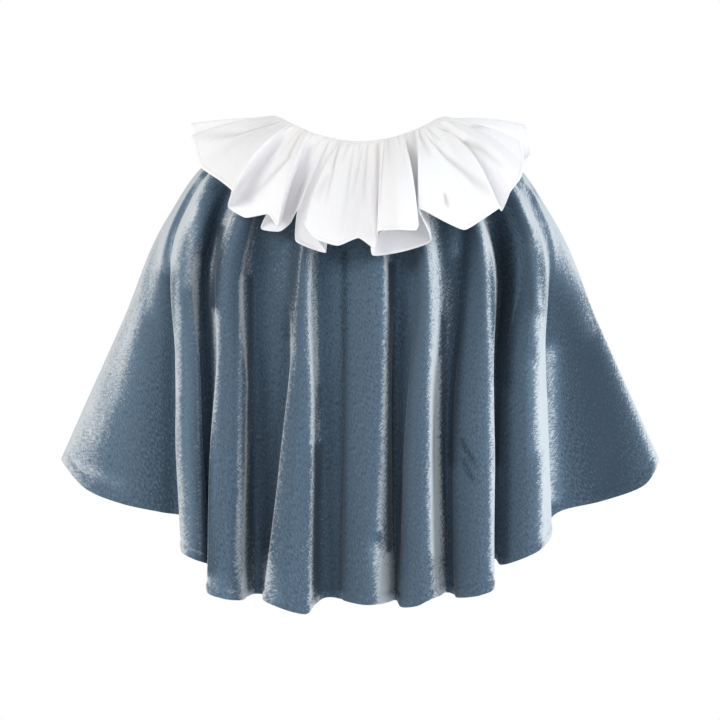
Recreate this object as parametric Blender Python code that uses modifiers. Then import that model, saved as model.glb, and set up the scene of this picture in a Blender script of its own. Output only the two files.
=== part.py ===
"""A short cape in pile cloth, filled out as if worn, with a gathered frill sewn into its neck.

Tables and sizes are in millimetres and become metres when a mesh is made. +Z is up, the front faces -Y
and the origin is the middle of the neck opening. Every piece of cloth is one sheet laid through fold
lines that run from neck to edge, and a Solidify modifier gives it its thickness.
"""

import math
from collections import namedtuple

import bmesh
import bpy
import numpy as np

for item in list(bpy.data.objects):
    bpy.data.objects.remove(item)

METRE = 0.001
CAPE_WALL = 2.0
FRILL_WALL = 1.0
SEAM_GAP = 0.3
SEAM_STRIP = 2.0
OPENING_GAP = 0.6

CAPE_STEPS = 2
CAPE_SHARES = (0.0, 0.09, 0.18, 0.26, 0.34, 0.43, 0.54, 0.65, 0.77, 0.89, 1.0)
FRILL_STEPS = 3
FRILL_SHARES = (0.0, 0.08, 0.21, 0.43, 0.71, 1.0)

SHOULDER_RELIEF = 0.20
SHOULDER_PINCH = 0.25
TOP_RELIEF = 0.45
MID_SHARE = 0.6
WALL_LEAD = 0.45
WALL_TOP = 0.35

FRILL_STAND = 1.5
GATHER_LIFT = 1.0
GATHER_SHARE = 0.42
GATHER_TURN = 6.9
FRILL_CRISP = 0.45

# The cape with no fold in it: how far its side line and its front line stand out, and at what height.
Section = namedtuple("Section", "share side_out side_height front_out front_height")
SECTIONS = (
    Section(0.0, 63, 8.5, 50, -12),
    Section(0.1, 95, -9, 56, -32),
    Section(0.2, 128, -31, 64, -60),
    Section(0.3, 152, -67, 75, -102),
)

# Lines down each wing, from the side seam towards the first fold. turn is in degrees from the side.
Wing = namedtuple("Wing", "turn hem_x hem_out hem_height")
FRONT_LEFT_WING = (
    Wing(0.0, 239.5, 0, -262),
    Wing(6.0, 217, 45, -285),
    Wing(11.0, 187, 68, -296),
    Wing(15.5, 156, 81, -302),
)
FRONT_RIGHT_WING = (
    Wing(0.0, 239.5, 0, -262),
    Wing(6.0, 226, 32, -282),
    Wing(11.0, 191, 58, -294),
    Wing(15.5, 156, 78, -302),
)
BACK_WING = (
    Wing(0.0, 239.5, 0, -262),
    Wing(6.0, 221, 37, -284),
    Wing(11.0, 189, 63, -295),
    Wing(15.5, 156, 80, -302),
)

# A row for each fold, from -X to +X. left and right are its edges at the top, middle and hem. crown and
# hollow are how far forward the fold and the hollow after it reach at the hem. lead is how much of that
# depth an edge has, tuck how far the cloth goes back in behind the edge, hollow_top where between two
# folds the hollow starts, and pinch how much deeper it is above the hem.
Fold = namedtuple(
    "Fold",
    "left_top left_mid left_hem right_top right_mid right_hem crown left_lead right_lead "
    "left_tuck right_tuck left_height right_height hollow hollow_top hollow_x hollow_height pinch",
)
FRONT_START = (-136, 84, -306)
FRONT = (
    Fold(-140, -145, -139, -126, -125, -117, 128, 0.70, 0.60, 5, 4, -331, -341, 101, 0.5, -117, -338, 12),
    Fold(-105, -113, -118, -90, -90, -91, 150, 0.75, 0.75, 5, -4, -362, -368, 98, 0.3, -80, -365, 4),
    Fold(-47, -57, -74, -40, -39, -41, 158, 0.75, 0.80, 6, -6, -368, -378, 112, 0.35, -25, -367, 0),
    Fold(-8, -10, -12, 19, 18, 15, 146, 0.50, 0.85, -3, -8, -369, -371, 102, 0.4, 28, -370, 0),
    Fold(44, 37, 31, 54, 54, 55, 152, 0.45, 0.85, -2, -7, -374, -367, 100, 0.7, 68, -364, 0),
    Fold(85, 75, 75, 99, 103.5, 103, 146, 0.40, 0.80, -2, 2, -367, -360, 94, 0.25, 104.5, -338, 14),
    Fold(125, 114, 108, 137, 139, 139, 131, 0.35, 0.88, -2, -10, -342, -330, 84, 0.5, 148, -309, 0),
)
BACK_START = (-134, 84, -306)
BACK = (
    Fold(-137, -140, -136, -121, -118, -110, 124, 0.70, 0.70, 3, 3, -322, -334, 94, 0.5, -101, -346, 0),
    Fold(-98, -98, -94, -78, -74, -66, 143, 0.70, 0.70, 3, 3, -356, -364, 98, 0.5, -54, -364, 4),
    Fold(-52, -48, -42, -26, -22, -17, 147, 0.60, 0.70, 1, 1, -366, -370, 112, 0.5, 0, -369, 0),
    Fold(26, 22, 17, 50, 46, 40, 147, 0.70, 0.60, 1, 2, -370, -367, 100, 0.5, 50, -366, 4),
    Fold(74, 68, 60, 96, 95, 92, 144, 0.70, 0.70, 3, 3, -365, -357, 95, 0.5, 100, -347, 4),
    Fold(121, 116, 109, 137, 140, 135, 122, 0.70, 0.70, 3, 3, -335, -323, 84, 0.5, 134, -307, 0),
)

# A row for each line of the frill's front, round the neck from -X to +X: turn in degrees about the neck,
# the place of its free edge, and how far the cloth rounds up between the neck and that edge.
Line = namedtuple("Line", "turn x y height rounding")
FRILL_FRONT = (
    Line(-6, -135, 14, 6, 2),
    Line(-1, -130, 0, -16, 0),
    Line(3, -134, -13, -5, 4),
    Line(13, -127, -33, -30, 6),
    Line(24, -111, -56, -42, 8),
    Line(34, -100, -78, -52, 8),
    Line(39, -103, -62, -64, 1),
    Line(44, -90, -70, -72, 3),
    Line(49, -72, -84, -70, 6),
    Line(51.5, -64, -98, -80, 9),
    Line(54.5, -61, -92, -76, 5),
    Line(58, -71, -78, -69, 2),
    Line(61.5, -77, -72, -81, 1),
    Line(64.5, -63, -76, -83, 1),
    Line(66, -55, -80, -77, 1),
    Line(68, -49, -83, -66, 1),
    Line(71, -50, -91, -91, 1),
    Line(74, -27, -94, -100, 1),
    Line(77, -44, -105, -78, 6),
    Line(80, -34, -107, -90, 8),
    Line(86, -17, -108, -95, 7),
    Line(93, -1, -104, -89, 5),
    Line(100.5, 11, -106, -97, 5),
    Line(104.5, 13, -101, -89, 1),
    Line(107.5, 14, -113, -84, 7),
    Line(113, 29, -118, -83, 9),
    Line(118.5, 43.5, -114, -83, 10),
    Line(122.5, 45.5, -107, -78, 7.5),
    Line(125, 29, -100, -80, 4.5),
    Line(127.6, 10, -95, -90, 3.5),
    Line(129.6, 10, -91, -102, 3),
    Line(131.4, 34, -90, -99, 4),
    Line(132.5, 55, -90, -91, 3),
    Line(136, 45, -98, -66, 8),
    Line(140.5, 66, -96, -76, 8),
    Line(145, 82, -84, -82, 8),
    Line(150, 97, -77, -73, 7),
    Line(155, 109, -69, -65, 11),
    Line(159, 112, -53, -66, 6),
    Line(163, 118, -54, -52, 11),
    Line(168, 127, -43, -40, 9),
    Line(174, 130, -28, -28, 6),
    Line(178, 128, -15, -10, 4),
    Line(180, 122, -7, -11, 2),
    Line(182, 121, -2, -18, 2),
    Line(184, 130, 4, -25, 2),
    Line(186, 138, 11, -19, 3),
    Line(188, 137, 17, -5, 3),
    Line(191, 132, 26, 6, 3),
)

# The frill's hidden half is the same wave over and over, larger or smaller by its row.
Wave = namedtuple("Wave", "turn width size")
FRILL_BACK = (
    Wave(204, 15, 0.97),
    Wave(220, 14, 1.03),
    Wave(236, 15, 0.97),
    Wave(252, 15, 1.03),
)
BackEdge = namedtuple("BackEdge", "out_x out_y side_height middle_height side_rounding middle_rounding")
BACK_CREST = BackEdge(130, 112, -8, -78, 10, 8)
BACK_HOLLOW = BackEdge(116, 95, -22, -92, 8, 3)


def between(first, last, share):
    return first + (last - first) * share


def spline(knots, values, at, crisp=0.0):
    """A smooth line through values (first axis) at knots, read at the places in at."""
    knots = np.asarray(knots, float)
    values = np.asarray(values, float)
    step = np.diff(knots)
    shape = (-1,) + (1,) * (values.ndim - 1)
    slope = np.diff(values, axis=0) / step.reshape(shape)
    inner = (slope[:-1] * step[1:].reshape(shape) + slope[1:] * step[:-1].reshape(shape)) / (
        (step[1:] + step[:-1]).reshape(shape)
    )
    tangent = np.concatenate([slope[:1], inner, slope[-1:]]) * (1 - crisp)
    cell = np.clip(np.searchsorted(knots, at, side="right") - 1, 0, len(step) - 1)
    width = step[cell].reshape(shape)
    t = ((np.asarray(at) - knots[cell]) / step[cell]).reshape(shape)
    return (
        (1 + 2 * t) * (1 - t) ** 2 * values[cell]
        + t * (1 - t) ** 2 * width * tangent[cell]
        + t * t * (3 - 2 * t) * values[cell + 1]
        + t * t * (t - 1) * width * tangent[cell + 1]
    )


def curve(points, at, crisp=0.0):
    """A smooth line through points, read at counts of points such as 2.5, with even turns."""
    points = np.asarray(points, float)
    gaps = np.sqrt(np.linalg.norm(np.diff(points, axis=0), axis=1))
    knots = np.concatenate([[0], np.cumsum(gaps)])
    return spline(knots, points, np.interp(at, np.arange(len(points)), knots), crisp)


def section_point(section, turn):
    """A place on the unfolded cape, turn radians round from -X through the front."""
    across = math.cos(turn)
    ahead = math.sin(turn)
    height = section.side_height * across**2 + section.front_height * ahead**2
    return np.array([-section.side_out * across, -section.front_out * ahead, height])


def cape_line(turn, push, mid_x, hem_x, hem_out, hem_height, pinch=0):
    """One line from neck to hem, as a row of places; mid_x of None leaves the middle straight."""
    places = [section_point(section, turn) for section in SECTIONS]
    places[-2][1] -= SHOULDER_RELIEF * push - pinch * SHOULDER_PINCH
    places[-1][1] -= TOP_RELIEF * push - pinch
    hem = np.array([hem_x, -hem_out, hem_height], float)
    part = (MID_SHARE - SECTIONS[-1].share) / (1 - SECTIONS[-1].share)
    middle = places[-1] + (hem - places[-1]) * part
    if mid_x is not None:
        middle[0] = mid_x
    return np.array(places + [middle, hem])


def turn_at(x_top):
    return math.acos(-x_top / SECTIONS[-1].side_out)


def half_lines(folds, start, left_wing, right_wing):
    """All lines of one half of the cape, from the -X side seam to the +X one, facing -Y."""
    lines = [cape_line(math.radians(w.turn), 0, None, -w.hem_x, w.hem_out, w.hem_height) for w in left_wing]
    before_x, before_out, before_height = start
    before_turn = (math.radians(left_wing[-1].turn) + turn_at(folds[0].left_top)) / 2
    lines.append(cape_line(before_turn, -8, None, before_x, before_out, before_height))
    for number, fold in enumerate(folds):
        last = number == len(folds) - 1
        if last:
            turn = math.pi - (math.radians(right_wing[-1].turn) + math.pi - turn_at(fold.right_top)) / 2
        else:
            turn = turn_at(between(fold.right_top, folds[number + 1].left_top, fold.hollow_top))
        mean = (fold.crown + (before_out + fold.hollow) / 2) / 2
        left_rise = fold.left_lead * (fold.crown - before_out)
        right_rise = fold.right_lead * (fold.crown - fold.hollow)
        across = 0.5 + 0.25 * (fold.right_lead - fold.left_lead)
        left_turn = turn_at(fold.left_top)
        right_turn = turn_at(fold.right_top)
        crown_height = between(fold.left_height, fold.right_height, across) - 1
        left_low = (before_height + fold.left_height) / 2
        right_low = (fold.hollow_height + fold.right_height) / 2
        for top_turn, mid_x, hem_x, out, height in (
            (
                between(left_turn, before_turn, WALL_TOP),
                fold.left_mid + 0.7 * fold.left_tuck,
                fold.left_hem + fold.left_tuck,
                before_out + WALL_LEAD * left_rise,
                left_low,
            ),
            (left_turn, fold.left_mid, fold.left_hem, before_out + left_rise, fold.left_height),
            (
                turn_at(between(fold.left_top, fold.right_top, across)),
                between(fold.left_mid, fold.right_mid, across),
                between(fold.left_hem, fold.right_hem, across),
                fold.crown,
                crown_height,
            ),
            (right_turn, fold.right_mid, fold.right_hem, fold.hollow + right_rise, fold.right_height),
            (
                between(right_turn, turn, WALL_TOP),
                fold.right_mid - 0.7 * fold.right_tuck,
                fold.right_hem - fold.right_tuck,
                fold.hollow + WALL_LEAD * right_rise,
                right_low,
            ),
        ):
            lines.append(cape_line(top_turn, out - mean, mid_x, hem_x, out, height))
        middle_x = None if last else between(fold.right_mid, folds[number + 1].left_mid, fold.hollow_top)
        push = -8 if last else fold.hollow - mean
        hem = (fold.hollow_x, fold.hollow, fold.hollow_height)
        lines.append(cape_line(turn, push, middle_x, *hem, fold.pinch))
        before_turn = turn
        before_out = fold.hollow
        before_height = fold.hollow_height
    for w in reversed(right_wing):
        lines.append(cape_line(math.pi - math.radians(w.turn), 0, None, w.hem_x, w.hem_out, w.hem_height))
    return lines


def turned_back(lines):
    """The lines of a half that faces +Y, in order from the +X side seam to the -X one."""
    return [line * np.array([1, -1, 1]) for line in reversed(lines)]


def cape_sheet(lines, first, last, steps, shares):
    """The sheet between two lines of the closed ring: one row of places for each share of the length."""
    count = len(lines)
    ring = np.array([lines[(first + k) % count] for k in range(-2, last - first + 3)])
    at = list(np.arange((last - first) * steps + 1) / steps + 2)
    at.insert(1, at[0] + SEAM_STRIP / np.linalg.norm(ring[3, -1] - ring[2, -1]))
    at.insert(-1, at[-1] - SEAM_STRIP / np.linalg.norm(ring[-4, -1] - ring[-3, -1]))
    levels = np.array([curve(ring[:, level], at) for level in range(ring.shape[1])])
    known = [section.share for section in SECTIONS] + [MID_SHARE, 1.0]
    return spline(known, levels, shares)


def frill_lines():
    """The lines of the frill from one edge of the back opening round the front to the other."""
    half = []
    for wave in FRILL_BACK:
        for offset, crest in ((-0.5, 0.0), (-0.22, 0.75), (0.0, 1.0), (0.22, 0.75)):
            turn = wave.turn + offset * wave.width
            angle = math.radians(turn)
            size = 1 + crest * (wave.size - 1)
            behind = math.sin(angle) ** 2
            out_x = size * between(BACK_HOLLOW.out_x, BACK_CREST.out_x, crest)
            out_y = size * between(BACK_HOLLOW.out_y, BACK_CREST.out_y, crest)
            low = between(BACK_HOLLOW.side_height, BACK_HOLLOW.middle_height, behind)
            high = between(BACK_CREST.side_height, BACK_CREST.middle_height, behind)
            flat = between(BACK_HOLLOW.side_rounding, BACK_HOLLOW.middle_rounding, behind)
            full = between(BACK_CREST.side_rounding, BACK_CREST.middle_rounding, behind)
            place = (-out_x * math.cos(angle), -out_y * math.sin(angle), between(low, high, crest))
            half.append(Line(turn, *place, between(flat, full, crest)))
    half.append(Line(264, 8, BACK_HOLLOW.out_y + 4, BACK_HOLLOW.middle_height + 1, 3))
    half.append(Line(269.4, OPENING_GAP, BACK_HOLLOW.out_y + 6, BACK_HOLLOW.middle_height + 2, 4))
    other = [line._replace(turn=180 - line.turn, x=-line.x) for line in reversed(half)]
    return other + list(FRILL_FRONT) + half


def frill_sheet(lines, steps, shares):
    """The frill: each line leaves the neck seam, rounds outwards and ends at its free edge."""
    at = np.arange((len(lines) - 1) * steps + 1) / steps
    order = np.arange(len(lines))
    edge = curve([[line.x, line.y, line.height] for line in lines], at, FRILL_CRISP)
    turns = np.radians(np.interp(at, order, [line.turn for line in lines]))
    rounding = np.interp(at, order, [line.rounding for line in lines])
    neck = np.array([section_point(SECTIONS[0], turn) for turn in turns])
    below = np.array([section_point(SECTIONS[1], turn) for turn in turns]) - neck
    around = np.gradient(neck, axis=0)
    stand = np.cross(below, around)
    stand *= np.sign(stand[:, 2:])
    neck = neck + FRILL_STAND * stand / np.linalg.norm(stand, axis=1, keepdims=True)
    chord = edge - neck
    along = chord / np.linalg.norm(chord, axis=1, keepdims=True)
    rise = np.array([0, 0, 1.0]) - along[:, 2:] * along
    rise /= np.linalg.norm(rise, axis=1, keepdims=True)
    wave = (1 - np.cos(2 * math.pi * np.degrees(turns) / GATHER_TURN)) / 2
    rows = []
    for share in shares:
        gather = GATHER_LIFT * min(share / 0.08, 1.0) * max(1 - share / GATHER_SHARE, 0.0)
        lift = rounding * math.sin(math.pi * share) + gather * wave
        rows.append(neck + chord * share + rise * lift[:, None])
    return np.array(rows)


def cloth(name, sheet, wall, material, collection):
    """A sheet of places as a grid mesh with its wall going inwards."""
    rows, lines = sheet.shape[:2]
    mesh = bpy.data.meshes.new(name)
    grid = bmesh.new()
    bmesh.ops.create_grid(grid, x_segments=lines - 1, y_segments=rows - 1, size=1.0)
    for vert in grid.verts:
        line = round((vert.co.x + 1) / 2 * (lines - 1))
        row = round((1 - vert.co.y) / 2 * (rows - 1))
        vert.co = sheet[row, line] * METRE
    grid.to_mesh(mesh)
    grid.free()
    mesh.materials.append(material)
    thing = bpy.data.objects.new(name, mesh)
    thickness = thing.modifiers.new("wall", "SOLIDIFY")
    thickness.thickness = wall * METRE
    thickness.offset = -1.0
    collection.objects.link(thing)
    return thing


def plain_material(name, colour, roughness):
    material = bpy.data.materials.new(name)
    material.use_nodes = True
    shader = material.node_tree.nodes["Principled BSDF"]
    shader.inputs["Base Color"].default_value = (*colour, 1.0)
    shader.inputs["Roughness"].default_value = roughness
    return material


collection = bpy.data.collections.new("short_cape")
bpy.context.scene.collection.children.link(collection)

velvet_front = plain_material("velvet_front", (0.10, 0.17, 0.24), 0.9)
velvet_left = plain_material("velvet_back_left", (0.10, 0.17, 0.24), 0.9)
velvet_right = plain_material("velvet_back_right", (0.10, 0.17, 0.24), 0.9)
cotton = plain_material("white_cotton", (0.85, 0.85, 0.86), 0.8)

front_lines = half_lines(FRONT, FRONT_START, FRONT_LEFT_WING, FRONT_RIGHT_WING)
back_lines = turned_back(half_lines(BACK, BACK_START, BACK_WING, BACK_WING))
ring = front_lines[:-1] + back_lines[:-1]
right_side = len(front_lines) - 1
back_middle = right_side + (len(back_lines) - 1) // 2
half_gap = SEAM_GAP / 2

front = cape_sheet(ring, 0, right_side, CAPE_STEPS, CAPE_SHARES)
front[:, 0, 1] -= half_gap
front[:, -1, 1] -= half_gap
cloth("cape_front", front, CAPE_WALL, velvet_front, collection)

left = cape_sheet(ring, right_side, back_middle, CAPE_STEPS, CAPE_SHARES)
left[:, 0, 1] += half_gap
left[:, -1, 0] += OPENING_GAP / 2
cloth("cape_back_left", left, CAPE_WALL, velvet_left, collection)

right = cape_sheet(ring, back_middle, len(ring), CAPE_STEPS, CAPE_SHARES)
right[:, 0, 0] -= OPENING_GAP / 2
right[:, -1, 1] += half_gap
cloth("cape_back_right", right, CAPE_WALL, velvet_right, collection)

frill = frill_sheet(frill_lines(), FRILL_STEPS, FRILL_SHARES)
cloth("collar_frill", frill, FRILL_WALL, cotton, collection)
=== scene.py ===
# %% [markdown]
# # A short velvet cape with a gathered frill
# The imported solids of the cape are the fixed frame of this lesson. Every piece of cloth is made again
# here, finer, in the same place: velvet with soft creases and a brushed pile, and a crisp cotton frill.
# The frame is loaded first.

# %% Load the frame
import math
from collections import namedtuple

import bpy
import numpy as np
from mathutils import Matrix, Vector


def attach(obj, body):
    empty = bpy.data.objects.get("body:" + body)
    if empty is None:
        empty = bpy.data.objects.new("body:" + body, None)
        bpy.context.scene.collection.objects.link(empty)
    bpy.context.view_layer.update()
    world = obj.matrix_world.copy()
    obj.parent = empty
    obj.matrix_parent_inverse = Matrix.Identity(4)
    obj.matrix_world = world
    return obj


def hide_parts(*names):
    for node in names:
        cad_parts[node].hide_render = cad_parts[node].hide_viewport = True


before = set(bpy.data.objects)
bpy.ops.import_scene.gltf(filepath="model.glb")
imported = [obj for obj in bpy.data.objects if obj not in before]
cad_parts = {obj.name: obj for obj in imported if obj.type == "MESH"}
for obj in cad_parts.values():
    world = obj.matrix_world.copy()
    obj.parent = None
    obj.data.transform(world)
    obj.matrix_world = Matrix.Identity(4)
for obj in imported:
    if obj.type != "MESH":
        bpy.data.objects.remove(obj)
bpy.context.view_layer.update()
MM = 0.001
print("frame nodes:", sorted(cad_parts))

# %% [markdown]
# ## The sizes of the cape
# A cape with no fold in it is a row of rings: the neck, two rings over the shoulders and one at the top of
# the arms. From there the cloth falls to the hem in folds. One could draw each fold with a curve tool, but
# a short table with a row for each fold keeps the same sizes as the solids and is easy to change.
# All tables are in millimetres. The front of the cape faces -Y.

# %% Rings, wings and folds
Ring = namedtuple("Ring", "share side_out side_height front_out front_height")
RINGS = (
    Ring(0.0, 63, 8.5, 50, -12),
    Ring(0.1, 95, -9, 56, -32),
    Ring(0.2, 128, -31, 64, -60),
    Ring(0.3, 152, -67, 75, -102),
)
MIDDLE_SHARE = 0.6

Wing = namedtuple("Wing", "turn hem_x hem_out hem_height")
FRONT_LEFT_WING = (
    Wing(0.0, 239.5, 0, -262),
    Wing(6.0, 217, 45, -285),
    Wing(11.0, 187, 68, -296),
    Wing(15.5, 156, 81, -302),
)
FRONT_RIGHT_WING = (
    Wing(0.0, 239.5, 0, -262),
    Wing(6.0, 226, 32, -282),
    Wing(11.0, 191, 58, -294),
    Wing(15.5, 156, 78, -302),
)
BACK_WING = (
    Wing(0.0, 239.5, 0, -262),
    Wing(6.0, 221, 37, -284),
    Wing(11.0, 189, 63, -295),
    Wing(15.5, 156, 80, -302),
)

Fold = namedtuple(
    "Fold",
    "left_top left_mid left_hem right_top right_mid right_hem crown left_lead right_lead "
    "left_tuck right_tuck left_height right_height hollow hollow_top hollow_x hollow_height pinch",
)
FRONT_START = (-136, 84, -306)
FRONT_FOLDS = (
    Fold(-140, -145, -139, -126, -125, -117, 128, 0.70, 0.60, 5, 4, -331, -341, 101, 0.5, -117, -338, 12),
    Fold(-105, -113, -118, -90, -90, -91, 150, 0.75, 0.75, 5, -4, -362, -368, 98, 0.3, -80, -365, 4),
    Fold(-47, -57, -74, -40, -39, -41, 158, 0.75, 0.80, 6, -6, -368, -378, 112, 0.35, -25, -367, 0),
    Fold(-8, -10, -12, 19, 18, 15, 146, 0.50, 0.85, -3, -8, -369, -371, 102, 0.4, 28, -370, 0),
    Fold(44, 37, 31, 54, 54, 55, 152, 0.45, 0.85, -2, -7, -374, -367, 100, 0.7, 68, -364, 0),
    Fold(85, 75, 75, 99, 103.5, 103, 146, 0.40, 0.80, -2, 2, -367, -360, 94, 0.25, 104.5, -338, 14),
    Fold(125, 114, 108, 137, 139, 139, 131, 0.35, 0.88, -2, -10, -342, -330, 84, 0.5, 148, -309, 0),
)
BACK_START = (-134, 84, -306)
BACK_FOLDS = (
    Fold(-137, -140, -136, -121, -118, -110, 124, 0.70, 0.70, 3, 3, -322, -334, 94, 0.5, -101, -346, 0),
    Fold(-98, -98, -94, -78, -74, -66, 143, 0.70, 0.70, 3, 3, -356, -364, 98, 0.5, -54, -364, 4),
    Fold(-52, -48, -42, -26, -22, -17, 147, 0.60, 0.70, 1, 1, -366, -370, 112, 0.5, 0, -369, 0),
    Fold(26, 22, 17, 50, 46, 40, 147, 0.70, 0.60, 1, 2, -370, -367, 100, 0.5, 50, -366, 4),
    Fold(74, 68, 60, 96, 95, 92, 144, 0.70, 0.70, 3, 3, -365, -357, 95, 0.5, 100, -347, 4),
    Fold(121, 116, 109, 137, 140, 135, 122, 0.70, 0.70, 3, 3, -335, -323, 84, 0.5, 134, -307, 0),
)
print(len(FRONT_FOLDS), "folds in front and", len(BACK_FOLDS), "behind")

# %% [markdown]
# ## Smooth lines
# Cloth bends without corners. A spline through a few places gives such a bend. The one here spaces its
# places by the root of their distance, which keeps a sharp fold from swinging past its own edge. Cotton
# bends more tightly than velvet, so crisp takes a share of the swing out of a line.

# %% Splines
def between(first, last, share):
    return first + (last - first) * share


def spline(knots, values, at, crisp=0.0):
    """A smooth line through values (first axis) at knots, read at the places in at."""
    knots = np.asarray(knots, float)
    values = np.asarray(values, float)
    step = np.diff(knots)
    shape = (-1,) + (1,) * (values.ndim - 1)
    slope = np.diff(values, axis=0) / step.reshape(shape)
    before = step[:-1].reshape(shape)
    after = step[1:].reshape(shape)
    inner = (slope[:-1] * after + slope[1:] * before) / (before + after)
    tangent = np.concatenate([slope[:1], inner, slope[-1:]]) * (1 - crisp)
    cell = np.clip(np.searchsorted(knots, at, side="right") - 1, 0, len(step) - 1)
    width = step[cell].reshape(shape)
    t = ((np.asarray(at) - knots[cell]) / step[cell]).reshape(shape)
    return (
        (1 + 2 * t) * (1 - t) ** 2 * values[cell]
        + t * (1 - t) ** 2 * width * tangent[cell]
        + t * t * (3 - 2 * t) * values[cell + 1]
        + t * t * (t - 1) * width * tangent[cell + 1]
    )


def curve(points, at, crisp=0.0):
    """A smooth line through points, read at counts of points such as 2.5, with even turns."""
    points = np.asarray(points, float)
    gaps = np.sqrt(np.linalg.norm(np.diff(points, axis=0), axis=1))
    knots = np.concatenate([[0], np.cumsum(gaps)])
    return spline(knots, points, np.interp(at, np.arange(len(points)), knots), crisp)


print("a quarter of the way:", curve([[0, 0], [1, 0], [1, 1]], [0.5])[0].round(3))

# %% [markdown]
# ## Fold lines
# Each fold has five lines down the cloth: a wall and an edge on the left, the crown, an edge and a wall on
# the right. A hollow lies between two folds. A line knows its place on each ring, halfway down and at the
# hem. The whole cape is one closed ring of such lines, cut at the two side seams and down the back.

# %% One line from neck to hem
SHOULDER_RELIEF = 0.20
SHOULDER_PINCH = 0.25
TOP_RELIEF = 0.45


def ring_point(ring, turn):
    """A place on the unfolded cape, turn radians round from -X through the front."""
    across = math.cos(turn)
    ahead = math.sin(turn)
    height = ring.side_height * across**2 + ring.front_height * ahead**2
    return np.array([-ring.side_out * across, -ring.front_out * ahead, height])


def cape_line(turn, push, mid_x, hem_x, hem_out, hem_height, pinch=0):
    """One line from neck to hem; mid_x of None leaves the middle straight."""
    places = [ring_point(ring, turn) for ring in RINGS]
    places[-2][1] -= SHOULDER_RELIEF * push - pinch * SHOULDER_PINCH
    places[-1][1] -= TOP_RELIEF * push - pinch
    hem = np.array([hem_x, -hem_out, hem_height], float)
    part = (MIDDLE_SHARE - RINGS[-1].share) / (1 - RINGS[-1].share)
    middle = places[-1] + (hem - places[-1]) * part
    if mid_x is not None:
        middle[0] = mid_x
    return np.array(places + [middle, hem])


def turn_at(x_top):
    return math.acos(-x_top / RINGS[-1].side_out)


print("top ring in front:", ring_point(RINGS[-1], math.pi / 2).round(1))

# %% All lines of the cape
WALL_LEAD = 0.45
WALL_TOP = 0.35
MID_TUCK = 0.7
CROWN_SWAY = 0.25
CROWN_DROP = 1
SEAM_PUSH = -8


def half_lines(folds, start, left_wing, right_wing):
    """All lines of one half of the cape, from the -X side seam to the +X one, facing -Y."""
    lines = [cape_line(math.radians(w.turn), 0, None, -w.hem_x, w.hem_out, w.hem_height) for w in left_wing]
    before_x, before_out, before_height = start
    before_turn = (math.radians(left_wing[-1].turn) + turn_at(folds[0].left_top)) / 2
    lines.append(cape_line(before_turn, SEAM_PUSH, None, before_x, before_out, before_height))
    for number, fold in enumerate(folds):
        last = number == len(folds) - 1
        if last:
            turn = math.pi - (math.radians(right_wing[-1].turn) + math.pi - turn_at(fold.right_top)) / 2
        else:
            turn = turn_at(between(fold.right_top, folds[number + 1].left_top, fold.hollow_top))
        mean = (fold.crown + (before_out + fold.hollow) / 2) / 2
        left_rise = fold.left_lead * (fold.crown - before_out)
        right_rise = fold.right_lead * (fold.crown - fold.hollow)
        across = 0.5 + CROWN_SWAY * (fold.right_lead - fold.left_lead)
        left_turn = turn_at(fold.left_top)
        right_turn = turn_at(fold.right_top)
        crown_height = between(fold.left_height, fold.right_height, across) - CROWN_DROP
        left_low = (before_height + fold.left_height) / 2
        right_low = (fold.hollow_height + fold.right_height) / 2
        for top_turn, mid_x, hem_x, out, height in (
            (
                between(left_turn, before_turn, WALL_TOP),
                fold.left_mid + MID_TUCK * fold.left_tuck,
                fold.left_hem + fold.left_tuck,
                before_out + WALL_LEAD * left_rise,
                left_low,
            ),
            (left_turn, fold.left_mid, fold.left_hem, before_out + left_rise, fold.left_height),
            (
                turn_at(between(fold.left_top, fold.right_top, across)),
                between(fold.left_mid, fold.right_mid, across),
                between(fold.left_hem, fold.right_hem, across),
                fold.crown,
                crown_height,
            ),
            (right_turn, fold.right_mid, fold.right_hem, fold.hollow + right_rise, fold.right_height),
            (
                between(right_turn, turn, WALL_TOP),
                fold.right_mid - MID_TUCK * fold.right_tuck,
                fold.right_hem - fold.right_tuck,
                fold.hollow + WALL_LEAD * right_rise,
                right_low,
            ),
        ):
            lines.append(cape_line(top_turn, out - mean, mid_x, hem_x, out, height))
        middle_x = None if last else between(fold.right_mid, folds[number + 1].left_mid, fold.hollow_top)
        push = SEAM_PUSH if last else fold.hollow - mean
        hem = (fold.hollow_x, fold.hollow, fold.hollow_height)
        lines.append(cape_line(turn, push, middle_x, *hem, fold.pinch))
        before_turn = turn
        before_out = fold.hollow
        before_height = fold.hollow_height
    for w in reversed(right_wing):
        lines.append(cape_line(math.pi - math.radians(w.turn), 0, None, w.hem_x, w.hem_out, w.hem_height))
    return lines


front_lines = half_lines(FRONT_FOLDS, FRONT_START, FRONT_LEFT_WING, FRONT_RIGHT_WING)
hidden_lines = half_lines(BACK_FOLDS, BACK_START, BACK_WING, BACK_WING)
back_lines = [line * np.array([1, -1, 1]) for line in reversed(hidden_lines)]
cape_ring = front_lines[:-1] + back_lines[:-1]
RIGHT_SEAM = len(front_lines) - 1
BACK_MIDDLE = RIGHT_SEAM + (len(back_lines) - 1) // 2
print(len(cape_ring), "lines round the cape")

# %% [markdown]
# ## A fine sheet
# The solids read this ring of lines at a few places. Here it is read every two or three millimetres, and
# closer still at the hem, where the turned-up edge needs its own small step.

# %% Fine sheets of the cape
CAPE_STEPS = 8
CAPE_ROWS = 96
HEM_SHARE = 0.955
HEM_ROWS = 13
SEAM_GAP = 0.3
OPENING_GAP = 0.6
cape_shares = np.concatenate(
    [np.linspace(0, HEM_SHARE, CAPE_ROWS), np.linspace(HEM_SHARE, 1, HEM_ROWS)[1:]]
)


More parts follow.
